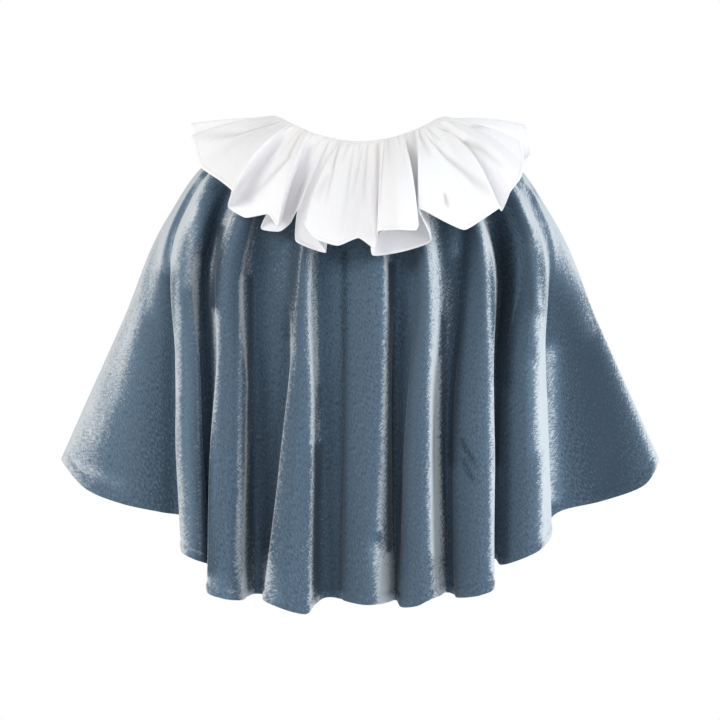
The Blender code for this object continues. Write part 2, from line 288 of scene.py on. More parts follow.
def cape_sheet(first, last):
    """The outer face between two lines of the ring: [row from neck to hem, column, xyz]."""
    count = len(cape_ring)
    lines = np.array([cape_ring[(first + k) % count] for k in range(-2, last - first + 3)])
    at = np.arange((last - first) * CAPE_STEPS + 1) / CAPE_STEPS + 2
    levels = np.array([curve(lines[:, level], at) for level in range(lines.shape[1])])
    known = [ring.share for ring in RINGS] + [MIDDLE_SHARE, 1.0]
    return spline(known, levels, cape_shares)


front_sheet = cape_sheet(0, RIGHT_SEAM)
front_sheet[:, [0, -1], 1] -= SEAM_GAP / 2
left_sheet = cape_sheet(RIGHT_SEAM, BACK_MIDDLE)
left_sheet[:, 0, 1] += SEAM_GAP / 2
left_sheet[:, -1, 0] += OPENING_GAP / 2
right_sheet = cape_sheet(BACK_MIDDLE, len(cape_ring))
right_sheet[:, 0, 0] -= OPENING_GAP / 2
right_sheet[:, -1, 1] += SEAM_GAP / 2
print("places on the front sheet:", front_sheet.shape)

# %% [markdown]
# ## Creases and the turned hem
# Real velvet is never as even as a spline. Three things are laid over the fold lines, all along the normal
# of the cloth: a slow wander with no pattern to it, creases placed where the cloth shows them, and
# the hem, which is turned up inside and leaves a soft step a finger's breadth above the edge.

# %% Measures of a sheet
def normals_of(sheet):
    """Outward normals of a sheet whose rows go down and whose columns go round the cape."""
    normal = np.cross(np.gradient(sheet, axis=0), np.gradient(sheet, axis=1))
    return normal / np.linalg.norm(normal, axis=2, keepdims=True)


def up_from_edge(sheet):
    """How far each place is from the free edge, along its own column."""
    step = np.linalg.norm(np.diff(sheet, axis=0), axis=2)
    down = np.concatenate([np.zeros((1, sheet.shape[1])), np.cumsum(step, axis=0)])
    return down[-1] - down


def round_the_cloth(sheet, share):
    """How far each column is from the first one, on the row at that share of the length."""
    row = sheet[int(share * (len(sheet) - 1))]
    return np.concatenate([[0], np.cumsum(np.linalg.norm(np.diff(row, axis=0), axis=1))])


def bell(distance, width):
    return np.exp(-((distance / width) ** 2))


def from_line(sheet, line):
    """The way in x and z to each place from the start of a crease or mark, and the reach of that line."""
    start = np.array([line.x, line.height], float)
    return sheet[:, :, [0, 2]] - start, np.array([line.to_x, line.to_height], float) - start


print("front hem is", round(round_the_cloth(front_sheet, 1.0)[-1]), "mm round its folds")

# %% Creases of the velvet
Crease = namedtuple("Crease", "x height to_x to_height width rise")
FRONT_CREASES = (
    Crease(75, -70, 75, -114, 5, 4.0),
    Crease(79, -246, 85, -259, 1.8, -0.9),
    Crease(83, -254, 89, -265, 1.8, -0.9),
    Crease(80, -262, 87, -276, 1.8, -0.8),
    Crease(204, -240, 193, -290, 8, -2.4),
    Crease(-182, -190, -205, -268, 14, 2.0),
    Crease(-99, -300, -104, -362, 6, 1.6),
    Crease(-52, -250, -58, -350, 8, 1.4),
    Crease(10, -200, 6, -300, 9, -1.2),
    Crease(22, -330, 34, -368, 6, 2.0),
    Crease(66, -335, 70, -362, 4, 1.5),
    Crease(132, -250, 128, -330, 10, 1.6),
    Crease(-20, -140, -24, -260, 5, -0.8),
)
BACK_CREASES = (
    Crease(-203, -236, -192, -288, 8, -2.2),
    Crease(188, -200, 206, -270, 12, 2.0),
    Crease(-84, -300, -80, -360, 6, 1.5),
    Crease(38, -240, 32, -340, 8, 1.4),
    Crease(82, -250, 78, -345, 8, -1.2),
    Crease(-34, -180, -30, -280, 8, 1.2),
    Crease(126, -220, 122, -310, 8, 1.4),
)
RUN_OUT = 0.15
FADE_POWER = 1.5


def crease_lift(sheet, creases):
    """Height of all creases at each place; a crease fades out at both of its ends."""
    lift = np.zeros(sheet.shape[:2])
    for c in creases:
        offset, reach = from_line(sheet, c)
        length = np.linalg.norm(reach)
        along = (offset @ reach) / length**2
        across = (offset[:, :, 0] * reach[1] - offset[:, :, 1] * reach[0]) / length
        fade = np.sin(math.pi * np.clip((along + RUN_OUT) / (1 + 2 * RUN_OUT), 0, 1)) ** FADE_POWER
        lift += c.rise * fade * bell(across, c.width)
    return lift


print(len(FRONT_CREASES) + len(BACK_CREASES), "creases placed by hand")

# %% A slow wander of the cloth
Ripple = namedtuple("Ripple", "wide tall size")
RIPPLES = (
    Ripple(31, 118, 0.55),
    Ripple(47, 83, 0.45),
    Ripple(19, 64, 0.28),
    Ripple(73, 171, 0.6),
    Ripple(13, 41, 0.14),
)
RIPPLE_BEND = 0.9


def wander(across, up, seed):
    """A slow unevenness, from ripples of several lengths that never line up."""
    total = np.zeros_like(up)
    for number, ripple in enumerate(RIPPLES):
        shift = seed * 1.7 + number * 2.3
        bend = RIPPLE_BEND * np.sin(up / (ripple.tall * 0.61) + shift)
        swing = np.sin(across / ripple.wide * 2 + bend + shift)
        total += ripple.size * swing * np.cos(up / ripple.tall * 3 + shift * 0.6)
    return total


print("the wander is at most", round(sum(ripple.size for ripple in RIPPLES), 2), "mm")

# %% Lay the creases and the hem over the sheets
HEM_TURN = 8.0
HEM_STEP = 0.55
HEM_SWELL_AT = 4.2
HEM_SWELL_WIDTH = 3.0
HEM_DIP = 1.5
HEM_DIP_WIDTH = 1.7
SEAM_ROLL = 1.1
SEAM_REACH = 3.5
SEAM_CALM = 25
NECK_CALM = 60
MAP_SHARE = 0.72
FACING_GAIN = 1.4


def finish_velvet(sheet, creases, seed):
    """The sheet with its creases, turned hem and rolled seams, and its cloth measures."""
    normal = normals_of(sheet)
    up = up_from_edge(sheet)
    across = round_the_cloth(sheet, MAP_SHARE)
    spread = np.broadcast_to(across, up.shape)
    ahead = np.clip(np.abs(normal[:, :, 1]) * FACING_GAIN, 0, 1)
    free = np.clip(up[:1] - up, 0, NECK_CALM) / NECK_CALM
    lift = crease_lift(sheet, creases) * ahead + wander(spread, up, seed) * free
    swell = bell(up - HEM_SWELL_AT, HEM_SWELL_WIDTH)
    lift += HEM_STEP * (swell - HEM_DIP * bell(up - HEM_TURN, HEM_DIP_WIDTH))
    edge = np.minimum(spread, across[-1] - spread)
    settle = np.clip(edge / SEAM_CALM, 0, 1)
    lift = lift * settle - SEAM_ROLL * bell(edge, SEAM_REACH) * free
    return sheet + normal * lift[:, :, None], across, up


front_cloth = finish_velvet(front_sheet, FRONT_CREASES, 1)
left_cloth = finish_velvet(left_sheet, BACK_CREASES, 2)
right_cloth = finish_velvet(right_sheet, BACK_CREASES, 3)
for name, cloth in (("front", front_cloth), ("left", left_cloth), ("right", right_cloth)):
    print(name, "width across", round(cloth[1][-1]), "mm, longest column", round(cloth[2].max()), "mm")

# %% [markdown]
# ## Brushed pile and painted light
# Velvet is pale where its pile leans away from the eye and deep where the eye looks into it. Most of this
# comes from the shader, but a hand or a fold also leaves the pile lying the other way. One could paint such
# places by hand. Here a table with a row for each mark gives them, and most of its marks are painted
# highlights and painted shade on the folds and wings. The cloth keeps marks and nap as one attribute. A
# second attribute holds painted shade on the left-facing slopes of the right half, and a third says how
# ruffled the pile is.

# %% Painted light marks in the pile
Mark = namedtuple("Mark", "x height to_x to_height width paler")
# Each row paints a band on the velvet: a painted highlight where its last value is above 0, painted shade
# where it is below 0.
FRONT_LIGHT_MARKS_ROWS = (
    (-150, -60, -239, -263, 38, 0.29),
    (-231, -262, -205, -274, 8, 0.30),
    (-215, -270, -190, -281, 7, 0.22),
    (-127, -42, -148, -87, 5, 0.55),
    (-148, -87, -154, -114, 5, 0.50),
    (-160, -160, -159, -298, 14, -0.18),
    (-153, -118, -151, -300, 8, -0.32),
    (-143, -110, -142.5, -210, 4.5, 0.32),
    (-142.5, -210, -136.5, -335, 3.5, 0.25),
    (-130, -110, -123, -335, 2.2, 0.30),
    (-131, -66, -137, -124, 8, 0.52),
    (-112, -48, -121, -100, 7, -0.42),
    (-134, -130, -130, -330, 7, 0.30),
    (-122, -100, -115.5, -345, 5, -0.38),
    (-110, -80, -115.5, -140, 4, -0.50),
    (-111.5, -150, -115, -345, 3.5, 0.22),
    (-122, -345, -104, -362, 9, 0.22),
    (-92, -352, -89, -368, 4, 0.22),
    (-93.5, -120, -93.5, -345, 2.2, 0.28),
    (-86.5, -120, -85.5, -362, 2.5, -0.34),
    (-72, -345, -66, -366, 8, 0.25),
    (-50, -90, -57, -165, 5, -0.30),
    (-57, -165, -72, -330, 4, -0.16),
    (-36, -88, -36, -250, 5, 0.13),
    (-32.5, -205, -33.5, -260, 3, -0.20),
    (-33, -250, -33.5, -360, 3.5, -0.42),
    (-12, -100, -14, -360, 3, -0.28),
    (20.5, -96, 18.5, -215, 3, 0.36),
    (18.5, -215, 14.5, -315, 3.5, 0.36),
    (24.5, -110, 23, -330, 3, -0.55),
    (13, -330, 18, -372, 6, 0.58),
    (57, -72, 57.5, -330, 5, 0.32),
    (65, -150, 66, -345, 2.5, -0.20),
    (75, -74, 75, -100, 4, 0.34),
    (84, -80, 71, -262, 4.5, -0.35),
    (79, -246, 85, -259, 1.8, -0.35),
    (83, -254, 89, -265, 1.8, -0.35),
    (80, -262, 87, -276, 1.8, -0.30),
    (99.5, -60, 99, -112, 3.4, 0.42),
    (99, -112, 102, -186, 2.6, 0.42),
    (102, -186, 103, -345, 3, 0.40),
    (113, -66, 111, -200, 8, -0.36),
    (111, -200, 107, -262, 4, -0.36),
    (130, -44, 137, -96, 5.5, 0.50),
    (137, -96, 141.5, -142, 3.5, 0.45),
    (140, -152, 143, -190, 6, 0.45),
    (143, -190, 145, -250, 10, 0.62),
    (145, -250, 143, -322, 6, 0.45),
    (149, -178, 149, -290, 8, 0.60),
    (146, -58, 239, -264, 7.5, 0.37),
    (147, -64, 186, -158, 11, 0.42),
    (180, -140, 198, -280, 32, -0.42),
)
FRONT_LIGHT_MARKS = [Mark(*row) for row in FRONT_LIGHT_MARKS_ROWS]
print(len(FRONT_LIGHT_MARKS), "marks in the pile")

# %% Nap with painted light, painted slope shade and ruffle
def nap_and_painted_light_of(sheet, marks):
    """Painted highlights and painted shade at each place, with the brushed pile; the strongest mark of each
    kind counts.
    """
    paler = np.zeros(sheet.shape[:2])
    painted_shade = np.zeros(sheet.shape[:2])
    for m in marks:
        offset, reach = from_line(sheet, m)
        along = np.clip((offset @ reach) / (reach @ reach), 0, 1)
        far = np.linalg.norm(offset - along[:, :, None] * reach, axis=2)
        mark = m.paler * bell(far, m.width)
        paler = np.maximum(paler, mark)
        painted_shade = np.minimum(painted_shade, mark)
    return paler + painted_shade


# Painted shade on the left-facing slopes of the right half.
SLOPE_SHADE_DEPTH = 0.45
SLOPE_SHADE_FROM = -45.0
SLOPE_SHADE_WIDTH = 32.0
SMOOTH_WING = -150.0
SMOOTH_REACH = 120
RUFFLED_FROM = 0.55
HIDDEN_RUFFLE = 0.7


def left_slope_shade(sheet):
    """Painted shade on the right half: slopes that face left lose their painted sheen."""
    faces_left = np.clip(-normals_of(sheet)[:, :, 0], 0, 1)
    part = np.clip((sheet[:, :, 0] - SLOPE_SHADE_FROM) / SLOPE_SHADE_WIDTH, 0, 1)
    return SLOPE_SHADE_DEPTH * faces_left * part


def ruffled_pile(sheet):
    """The pile lies smoother on the left wing and stands up in tufts further round."""
    part = np.clip((sheet[:, :, 0] - SMOOTH_WING) / SMOOTH_REACH, 0, 1)
    return RUFFLED_FROM + (1 - RUFFLED_FROM) * part


def even_pile(sheet):
    """The hidden pieces have no marks of their own."""
    flat = np.zeros(sheet.shape[:2])
    return {"nap_and_painted_light": flat, "slope_shade": flat, "ruffled": flat + HIDDEN_RUFFLE}


# Painted light marks, painted shade on left-facing slopes and the pile's ruffle, kept on the front piece.
front_pile_and_light = {
    "nap_and_painted_light": nap_and_painted_light_of(front_cloth[0], FRONT_LIGHT_MARKS),
    "slope_shade": left_slope_shade(front_cloth[0]),
    "ruffled": ruffled_pile(front_cloth[0]),
}
print("paler marks cover", round(float((front_pile_and_light["nap_and_painted_light"] > 0.1).mean()) * 100), "% of the front")

# %% [markdown]
# ## From sheet to shell
# A sheet has no thickness. A Solidify modifier would add one with a square rim, but a hem is a soft round
# edge, so the shell is wound by hand: down the outer face, round the hem, up the inner face and round
# the neck. Its map lies flat on the cloth in metres, so that pile and weave keep their size everywhere.

# %% Wind a shell round a sheet
ROUND_STEPS = (45, 90, 135)


def linked(name, data):
    """A new object in the scene."""
    made = bpy.data.objects.new(name, data)
    bpy.context.scene.collection.objects.link(made)
    return made


def wound_shell(name, sheet, wall, across, up, kept):
    """A closed piece of cloth with round edges, a flat map and the values kept on it, such as nap."""
    rows, columns = sheet.shape[:2]
    inner = sheet - normals_of(sheet) * wall
    middle_low = (sheet[-1] + inner[-1]) / 2
    middle_top = (sheet[0] + inner[0]) / 2
    down = sheet[-1] - sheet[-2]
    down *= wall / 2 / np.linalg.norm(down, axis=1, keepdims=True)
    raised = sheet[0] - sheet[1]
    raised *= wall / 2 / np.linalg.norm(raised, axis=1, keepdims=True)
    turns = [math.radians(t) for t in ROUND_STEPS]
    low = [middle_low + (sheet[-1] - middle_low) * math.cos(t) + down * math.sin(t) for t in turns]
    top = [middle_top - (sheet[0] - middle_top) * math.cos(t) + raised * math.sin(t) for t in turns]
    ring = np.concatenate([sheet, low, inner[::-1], top])
    count = len(ring)
    extra = len(turns)
    source = np.concatenate(
        [np.arange(rows), [rows - 1] * extra, np.arange(rows)[::-1], [0] * extra]
    )
    index = np.arange(count * columns).reshape(count, columns)
    after = np.roll(index, -1, axis=0)
    quads = np.stack([index[:, :-1], after[:, :-1], after[:, 1:], index[:, 1:]], axis=2).reshape(-1, 4)
    outer = np.arange(rows)
    back = rows + extra + rows - 1 - outer
    caps = []
    for column, turned in ((0, False), (columns - 1, True)):
        near = index[outer, column]
        far = index[back, column]
        side = [[near[r], far[r], far[r + 1], near[r + 1]] for r in range(rows - 1)]
        side.append([index[rows - 1, column]] + [index[rows + extra - k, column] for k in range(extra + 1)])
        side.append([index[0, column]] + [index[count - 1 - k, column] for k in range(extra + 1)])
        caps += [face[::-1] if turned else face for face in side]
    mesh = bpy.data.meshes.new(name)
    faces = quads.tolist() + [[int(corner) for corner in face] for face in caps]
    mesh.from_pydata((ring.reshape(-1, 3) * MM).tolist(), [], faces)
    smooth = np.ones(len(mesh.polygons), bool)
    smooth[len(quads):] = False
    mesh.polygons.foreach_set("use_smooth", smooth)
    flat_map = np.zeros((count, columns, 2))
    flat_map[:, :, 0] = across * MM
    flat_map[:, :, 1] = up[source] * MM
    corner = np.zeros(len(mesh.loops), int)
    mesh.loops.foreach_get("vertex_index", corner)
    layer = mesh.uv_layers.new(name="cloth")
    layer.data.foreach_set("uv", flat_map.reshape(-1, 2)[corner].ravel())
    for label, values in kept.items():
        mesh.attributes.new(label, "FLOAT", "POINT").data.foreach_set("value", values[source].ravel())
    mesh.validate()
    print(name, "has", len(quads) * 2, "triangles")
    return linked(name, mesh)

# %% [markdown]
# ## Velvet
# The pile is a forest of fine fibres. Facing it, one sees down between them and the cloth is deep blue. At
# a slant one sees their tips, and it turns silver. That silver is a painted sheen: Layer Weight gives the
# slant and mixes the silver into the base colour. Two fine slanted noises break its border into hairs, and a
# slow one keeps the border from running straight. The shader's own sheen adds the last glow, set on its own
# socket.

# %% Node helpers
def feed(tree, made, inputs):
    """Fills inputs of a node, by name or number, each with a socket to link or a value to set."""
    for place, value in inputs.items():
        if isinstance(value, bpy.types.NodeSocket):
            tree.links.new(value, made.inputs[place])
        else:
            made.inputs[place].default_value = value


def node(tree, kind, inputs=None, **settings):
    """A new node with its settings made and its inputs filled."""
    made = tree.nodes.new(kind)
    for key, value in settings.items():
        setattr(made, key, value)
    feed(tree, made, inputs or {})
    return made


def calc(tree, operation, first, second=0.0, clamp=False):
    """A Math node; each input is a socket or a number."""
    inputs = {0: first, 1: second}
    return node(tree, "ShaderNodeMath", inputs, operation=operation, use_clamp=clamp).outputs[0]


def mixed(tree, share, first, second):
    """A Mix node of two colours; each input is a socket, a number or a colour."""
    return node(tree, "ShaderNodeMix", {0: share, 6: first, 7: second}, data_type="RGBA").outputs[2]


print("helpers:", [helper.__name__ for helper in (feed, node, calc, mixed)])

# %% Finish helpers
def soft_step(tree, value, start, full):
    """From 0 at start to 1 at full, with soft ends."""
    inputs = {"Value": value, "From Min": start, "From Max": full}
    return node(tree, "ShaderNodeMapRange", inputs, interpolation_type="SMOOTHSTEP").outputs["Result"]


def relief(tree, height, strength, distance):
    """The normal of a surface with this height on it."""
    inputs = {"Height": height, "Strength": strength, "Distance": distance}
    return node(tree, "ShaderNodeBump", inputs).outputs["Normal"]


def kept_value(tree, label):
    """A value kept on the cloth, such as nap."""
    return node(tree, "ShaderNodeAttribute", attribute_name=label).outputs["Fac"]


Grain = namedtuple("Grain", "stretch turn size detail")


def cloth_noise(tree, flat, grain):
    """Noise on the flat map, drawn out along a direction turned by so many degrees from upright."""
    lay = {"Vector": flat, "Rotation": (0, 0, math.radians(grain.turn)), "Scale": (1, grain.stretch, 1)}
    place = node(tree, "ShaderNodeMapping", lay, vector_type="TEXTURE").outputs["Vector"]
    inputs = {"Vector": place, "Scale": grain.size, "Detail": grain.detail}
    return node(tree, "ShaderNodeTexNoise", inputs, noise_dimensions="2D").outputs["Fac"]


def new_finish(name):
    finish = bpy.data.materials.new(name)
    finish.use_nodes = True
    return finish, finish.node_tree, finish.node_tree.nodes["Principled BSDF"]


print("helpers:", [helper.__name__ for helper in (soft_step, relief, kept_value, cloth_noise)])

# %% Velvet finish
DEEP_BLUE = (0.037, 0.059, 0.086, 1.0)
SOFT_BLUE = (0.124, 0.191, 0.267, 1.0)
# The colour of the painted sheen, mixed into the base colour at a slant.
PAINTED_SHEEN = (0.60, 0.65, 0.69, 1.0)
SHEEN = (0.80, 0.88, 0.95, 1.0)
HAIR_LEFT = Grain(5.0, 64, 900, 3.0)
HAIR_RIGHT = Grain(5.0, -58, 780, 3.0)
DRIFT = Grain(2.5, 0, 42, 2.0)
STREAK = Grain(2.6, 24, 880, 4.0)
PILE = Grain(3.0, 12, 1300, 3.0)
HAIR_REACH = 0.75
DRIFT_REACH = 0.2
PAINTED_SHEEN_FROM = 0.38
PAINTED_SHEEN_FULL = 0.92
STREAK_CONTRAST = 1.5
STREAK_LEVEL = 0.52
NAP_AND_PAINTED_LIGHT_GAIN = 1.5
PILE_HEIGHT = 0.0006
PILE_STRENGTH = 0.55


def velvet_finish(name):
    finish, tree, shader = new_finish(name)
    flat = node(tree, "ShaderNodeUVMap", uv_map="cloth").outputs["UV"]
    nap_and_painted_light, slope_shade, ruffled = (kept_value(tree, label) for label in ("nap_and_painted_light", "slope_shade", "ruffled"))
    slant = node(tree, "ShaderNodeLayerWeight", {"Blend": 0.5}).outputs["Facing"]
    hair = calc(tree, "ADD", cloth_noise(tree, flat, HAIR_LEFT), cloth_noise(tree, flat, HAIR_RIGHT))
    hair = calc(tree, "MULTIPLY", calc(tree, "SUBTRACT", hair, 1.0), ruffled)
    hair = calc(tree, "MULTIPLY", hair, HAIR_REACH)
    drift = calc(tree, "SUBTRACT", cloth_noise(tree, flat, DRIFT), 0.5)
    drift = calc(tree, "MULTIPLY", drift, DRIFT_REACH)
    # Painted sheen: the Layer Weight slant, less the painted shade on left-facing slopes, plus the painted
    # light marks.
    painted_sheen = calc(tree, "ADD", calc(tree, "SUBTRACT", slant, slope_shade), nap_and_painted_light)
    painted_sheen = calc(tree, "ADD", calc(tree, "ADD", painted_sheen, hair), drift)
    streak = calc(tree, "SUBTRACT", cloth_noise(tree, flat, STREAK), 0.5)
    depth = calc(tree, "ADD", calc(tree, "MULTIPLY", streak, STREAK_CONTRAST), STREAK_LEVEL)
    # The same marks also lighten and darken the body colour: painted highlight and painted shade.
    depth = calc(tree, "ADD", depth, calc(tree, "MULTIPLY", nap_and_painted_light, NAP_AND_PAINTED_LIGHT_GAIN), clamp=True)
    body = mixed(tree, depth, DEEP_BLUE, SOFT_BLUE)
    look = {
        # The base colour turns silver where the painted sheen is strong.
        "Base Color": mixed(tree, soft_step(tree, painted_sheen, PAINTED_SHEEN_FROM, PAINTED_SHEEN_FULL), body, PAINTED_SHEEN),
        "Normal": relief(tree, cloth_noise(tree, flat, PILE), PILE_STRENGTH, PILE_HEIGHT),
        "Roughness": 0.85,
        "Specular IOR Level": 0.15,
        "Sheen Weight": 0.2,
        "Sheen Roughness": 0.35,
        "Sheen Tint": SHEEN,
    }
    feed(tree, shader, look)
    return finish


velvet_front = velvet_finish("velvet_front")
velvet_left = velvet_finish("velvet_back_left")
velvet_right = velvet_finish("velvet_back_right")
print("velvet in", len(velvet_front.node_tree.nodes), "nodes")

# %% Velvet pieces
VELVET_WALL = 1.6


def velvet_piece(name, cloth, pile_and_light, finish):
    sheet, across, up = cloth
    piece = wound_shell(name, sheet, VELVET_WALL, across, up, pile_and_light)
    piece.data.materials.append(finish)
    return piece


front_piece = velvet_piece("cape_front_velvet", front_cloth, front_pile_and_light, velvet_front)
left_piece = velvet_piece("cape_back_left_velvet", left_cloth, even_pile(left_cloth[0]), velvet_left)
right_piece = velvet_piece("cape_back_right_velvet", right_cloth, even_pile(right_cloth[0]), velvet_right)

# %% [markdown]
# ## The frill
# The frill is one long strip of cotton, gathered into the neck seam and turned outwards. Its waves differ,
# so each line of the front has a row: where it leaves the neck, where its free edge hangs, and how far it
# rounds up on the way. Where the edge runs back for a few rows, the cotton lies folded double. The hidden
# half repeats one wave.

# %% Lines of the frill
Line = namedtuple("Line", "turn x y height rounding")
FRILL_FRONT_ROWS = (
    (-6, -135, 14, 6, 2),
    (-1, -130, 0, -16, 0),
    (3, -134, -13, -5, 4),
    (13, -127, -33, -30, 6),
    (24, -111, -56, -42, 8),
    (34, -100, -78, -52, 8),
    (39, -103, -62, -64, 1),
    (44, -90, -70, -72, 3),
    (49, -72, -84, -70, 6),
    (51.5, -64, -98, -80, 9),
    (54.5, -61, -92, -76, 5),
    (58, -71, -78, -69, 2),
    (61.5, -77, -72, -81, 1),
    (64.5, -63, -76, -83, 1),
    (66, -55, -80, -77, 1),
    (68, -49, -83, -66, 1),
    (71, -50, -91, -91, 1),
    (74, -27, -94, -100, 1),
    (77, -44, -105, -78, 6),
    (80, -34, -107, -90, 8),
    (86, -17, -108, -95, 7),
    (93, -1, -104, -89, 5),
    (100.5, 11, -106, -97, 5),
    (104.5, 13, -101, -89, 1),
    (107.5, 14, -113, -84, 7),
    (113, 29, -118, -83, 9),
    (118.5, 43.5, -114, -83, 10),
    (122.5, 45.5, -107, -78, 7.5),
    (125, 29, -100, -80, 4.5),
    (127.6, 10, -95, -90, 3.5),
    (129.6, 10, -91, -102, 3),
    (131.4, 34, -90, -99, 4),
    (132.5, 55, -90, -91, 3),
    (136, 45, -98, -66, 8),
    (140.5, 66, -96, -76, 8),
    (145, 82, -84, -82, 8),
    (150, 97, -77, -73, 7),
    (155, 109, -69, -65, 11),
    (159, 112, -53, -66, 6),
    (163, 118, -54, -52, 11),
    (168, 127, -43, -40, 9),
    (174, 130, -28, -28, 6),
    (178, 128, -15, -10, 4),
    (180, 122, -7, -11, 2),
    (182, 121, -2, -18, 2),
    (184, 130, 4, -25, 2),
    (186, 138, 11, -19, 3),
    (188, 137, 17, -5, 3),
    (191, 132, 26, 6, 3),
)
FRILL_FRONT = [Line(*row) for row in FRILL_FRONT_ROWS]
print(len(FRILL_FRONT), "lines across the front")

# %% The hidden half of the frill
Wave = namedtuple("Wave", "turn width size")
FRILL_BACK = (Wave(204, 15, 0.97), Wave(220, 14, 1.03), Wave(236, 15, 0.97), Wave(252, 15, 1.03))
BackEdge = namedtuple("BackEdge", "out_x out_y side_height middle_height side_rounding middle_rounding")
BACK_CREST = BackEdge(130, 112, -8, -78, 10, 8)
BACK_HOLLOW = BackEdge(116, 95, -22, -92, 8, 3)
CREST_STEPS = ((-0.5, 0.0), (-0.22, 0.75), (0.0, 1.0), (0.22, 0.75))
FRILL_END = (Line(264, 8, 99, -91, 3), Line(269.4, OPENING_GAP, 101, -90, 4))


def frill_lines():
    """The lines of the frill from one edge of the back opening round the front to the other."""
    half = []
    for wave in FRILL_BACK:
        for offset, crest in CREST_STEPS:
            turn = wave.turn + offset * wave.width
            angle = math.radians(turn)
            size = 1 + crest * (wave.size - 1)
            behind = math.sin(angle) ** 2
            edge = BackEdge(*(between(low, high, crest) for low, high in zip(BACK_HOLLOW, BACK_CREST)))
            place = (
                -size * edge.out_x * math.cos(angle),
                -size * edge.out_y * math.sin(angle),
                between(edge.side_height, edge.middle_height, behind),
            )
            half.append(Line(turn, *place, between(edge.side_rounding, edge.middle_rounding, behind)))
    half.extend(FRILL_END)
    other = [line._replace(turn=180 - line.turn, x=-line.x) for line in reversed(half)]
    return other + FRILL_FRONT + half


frill_ring = frill_lines()
print(len(frill_ring), "lines along the frill")

# %% [markdown]
# ## Gathers and creases of the cotton
# Cotton creases sharply. At the neck it is drawn up into small gathers: round on top, with a sharp line
# between two of them, and never quite alike. Long creases run on from some of them towards the edge. Each
# has a row with three places on its way, as a turn round the neck and a share of the strip's width. These
# lines are too fine for the light alone to darken them, so they leave a value called shade on the cloth.
# The edge itself is a narrow turned hem.

# %% Creases of the cotton
Wrinkle = namedtuple("Wrinkle", "turn from_share mid_turn mid_share to_turn to_share width rise shade")
FRILL_CREASES_ROWS = (
    (21.5, 0.00, 9.5, 0.58, 4.5, 0.97, 1.2, -1.6, 0.40),
    (30, 0.10, 29, 0.40, 28, 0.70, 1.8, 1.0, 0.0),
    (19, 0.30, 17, 0.60, 15, 0.95, 2.4, -0.9, 0.05),
    (46, 0.02, 48.5, 0.38, 41, 0.88, 1.2, -1.2, 0.42),
    (53, 0.10, 54, 0.30, 55, 0.48, 1.0, -0.8, 0.20),
    (78, 0.03, 80.5, 0.40, 81.2, 0.72, 0.7, -1.0, 0.36),
    (79.4, 0.40, 78.8, 0.55, 78.2, 0.74, 0.8, -0.6, 0.24),
    (82.5, 0.05, 82.5, 0.50, 82.5, 0.95, 0.8, 0.9, 0.0),
    (86.5, 0.03, 87.5, 0.40, 88, 0.80, 0.6, -0.9, 0.24),
    (92.3, 0.04, 91, 0.30, 89.5, 0.65, 0.6, -0.8, 0.28),
    (95.5, 0.04, 95.3, 0.40, 95, 0.70, 0.7, -0.9, 0.24),
    (98.5, 0.30, 98.5, 0.60, 98.5, 0.95, 0.7, 0.7, 0.0),
    (107.9, 0.05, 108, 0.50, 107.6, 0.99, 0.7, -0.4, 0.36),
    (129, 0.02, 129.5, 0.25, 130, 0.60, 3.5, 3.6, 0.0),
    (136.5, 0.03, 138, 0.20, 139.5, 0.42, 0.9, -1.2, 0.34),
    (139.5, 0.04, 147.5, 0.44, 155.5, 0.95, 1.0, -1.4, 0.42),
    (144.5, 0.05, 146, 0.13, 147.5, 0.22, 0.7, -0.9, 0.28),
    (141.8, 0.72, 141.8, 0.79, 141.8, 0.87, 0.5, -1.8, 0.70),
    (151, 0.05, 161, 0.36, 165, 0.82, 0.9, -1.4, 0.50),
    (161, 0.02, 175.2, 0.36, 184, 0.90, 1.2, -1.0, 0.30),
)
FRILL_CREASES = [Wrinkle(*row) for row in FRILL_CREASES_ROWS]
CREASE_START = 1.15
CREASE_FADE = 0.7
CREASE_NARROW = 0.6
CREASE_SPREAD = 0.8


def crease_at(c, turns, share):
    """How strongly a crease shows in each column of one row: most near its start, fading to its end."""
    part = np.clip((share - c.from_share) / (c.to_share - c.from_share), 0, 1)
    path = np.interp(share, (c.from_share, c.mid_share, c.to_share), (c.turn, c.mid_turn, c.to_turn))
    strength = math.sin(math.pi * part) ** 0.5 * (CREASE_START - CREASE_FADE * part)
    return strength * bell(turns - path, c.width * (CREASE_NARROW + CREASE_SPREAD * part))


print(len(FRILL_CREASES), "creases in the cotton")

# %% Gathers at the neck
GATHER_LIFT = 2.0
GATHER_TURN = 6.9
GATHER_SHADE = 0.26
GATHER_ONSET = 0.06
VALLEY_WIDTH = 0.22


def gathers(turns):
    """The height of the gathers along the neck, the lines between them and how far down each reaches."""
    beat = turns / GATHER_TURN
    phase = beat + 0.16 * np.sin(1.9 * beat) + 0.1 * np.sin(4.7 * beat + 1)
    height = np.abs(np.sin(math.pi * phase)) ** 0.5 * (0.8 + 0.3 * np.sin(2.7 * beat))
    valley = bell(np.sin(math.pi * phase), VALLEY_WIDTH)
    reach = 0.36 + 0.14 * np.sin(1.3 * beat + 0.5) + 0.08 * np.sin(3.9 * beat)
    return height, valley, reach


print("about", round(180 / GATHER_TURN), "gathers across the front")

# %% Fine sheet of the frill
FRILL_STEPS = 10
FRILL_ROWS = 56
FRILL_HEM_ROWS = 8
FRILL_HEM_SHARE = 0.94
FRILL_STAND = 1.5
FRILL_CRISP = 0.45
FRILL_HEM = 3.0
HEM_RIDGE = 0.3
HEM_RIDGE_WIDTH = 1.2
HEM_GROOVE = 0.25
HEM_GROOVE_WIDTH = 0.7


